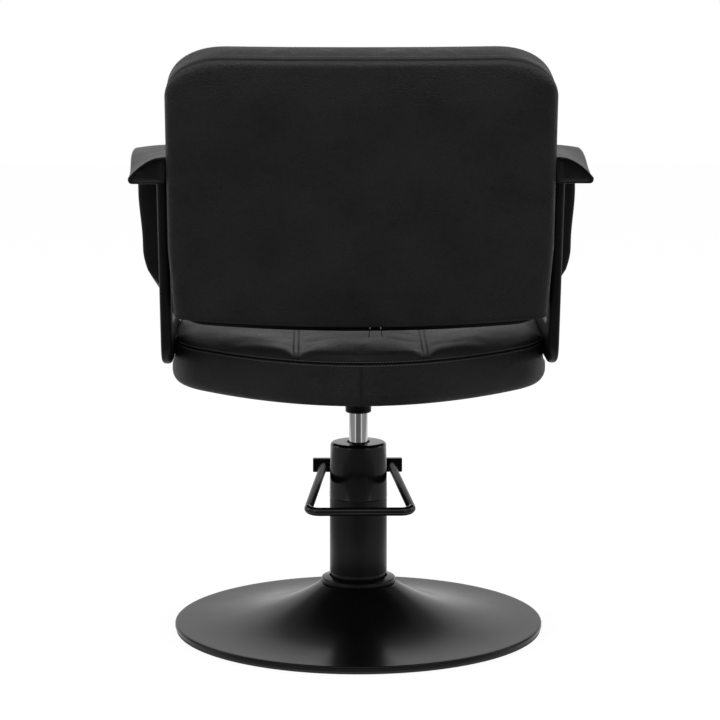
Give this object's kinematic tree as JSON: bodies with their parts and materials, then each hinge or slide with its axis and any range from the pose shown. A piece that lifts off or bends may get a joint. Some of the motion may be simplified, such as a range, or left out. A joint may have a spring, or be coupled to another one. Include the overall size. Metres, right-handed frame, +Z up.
{
  "type": "hairdressing chair",
  "caption": "Hairdressing chair with a round trumpet base, pedal-pumped lift column, swivelling padded seat and back, and moulded loop arms.",
  "frame": {"origin": "on the floor, on the lift column's axis", "axes": "+Z up, the sitter faces -Y, the sitter's left hand is at +X"},
  "size_m": [0.706, 0.6051, 0.9227],
  "materials": {
    "black_paint": "satin black powder coat",
    "pedal_paint": "gloss black enamel",
    "gloss_cover": "gloss black",
    "chrome": "polished",
    "steel": "machined",
    "zinc": "zinc plated",
    "rubber": "matt",
    "leatherette": "fine-grained satin leatherette",
    "foam": "open-cell foam",
    "plywood": "raw plywood",
    "dust_cloth": "black non-woven cloth",
    "moulded_black": "satin moulded skin"
  },
  "bodies": {
    "base": {"floor_ring": "rubber", "base_dish": "black_paint", "backing_plate": "steel", "base_bolt_1": "zinc", "base_bolt_2": "zinc", "base_bolt_3": "zinc", "base_bolt_4": "zinc", "pump_foot": "steel", "foot_collar": "gloss_cover", "lower_tube": "black_paint", "upper_cover": "gloss_cover", "pump_cylinder": "steel", "guide_head": "steel", "rod_bush": "rubber", "pivot_bracket": "steel", "pivot_pin": "zinc", "plunger_barrel": "steel"},
    "pedal": {"pedal_cross_bar": "black_paint", "pedal_bar": "pedal_paint"},
    "plunger": {"pump_plunger": "chrome", "plunger_spring": "steel"},
    "lift": {"piston_head": "steel", "piston_seal": "rubber"},
    "seat": {"lift_rod": "chrome", "seat_socket": "black_paint", "set_screw": "steel", "mount_plate": "black_paint", "plate_bolt_1": "zinc", "plate_bolt_2": "zinc", "plate_bolt_3": "zinc", "plate_bolt_4": "zinc", "dust_cover": "dust_cloth", "seat_board": "plywood", "seat_rail_left": "plywood", "seat_rail_right": "plywood", "seat_foam": "foam", "seat_cover": "leatherette", "back_cover": "leatherette", "back_board": "plywood", "back_front_foam": "foam", "back_rear_foam": "foam", "back_rear_panel": "leatherette", "arm_left": "moulded_black", "arm_right": "moulded_black", "arm_seat_bolt_left_1": "zinc", "arm_seat_bolt_left_2": "zinc", "arm_back_bolt_left_1": "zinc", "arm_back_bolt_left_2": "zinc", "arm_seat_bolt_right_1": "zinc", "arm_seat_bolt_right_2": "zinc", "arm_back_bolt_right_1": "zinc", "arm_back_bolt_right_2": "zinc"}
  },
  "joints": [
    {"name": "pedal_press", "type": "hinge", "parent": "base", "child": "pedal", "pos_m": [0, -0.062, 0.244], "axis": [-1, 0, 0], "range_deg": [0, 20], "stiffness_Nm_per_rad": 8, "springref_deg": -20.05},
    {"name": "plunger_stroke", "type": "slide", "parent": "base", "child": "plunger", "axis": [0, 0, -1], "range_m": [0, 0.0115], "deforming": ["plunger_spring"]},
    {"name": "seat_lift", "type": "slide", "parent": "base", "child": "lift", "axis": [0, 0, 1], "range_m": [0, 0.13]},
    {"name": "seat_swivel", "type": "hinge", "parent": "lift", "child": "seat", "pos_m": [0, 0, 0.35], "axis": [0, 0, 1], "continuous": true}
  ],
  "couplings": [
    {"joint": "plunger_stroke", "follows": "pedal_press", "m_per_rad": 0.0322}
  ]
}
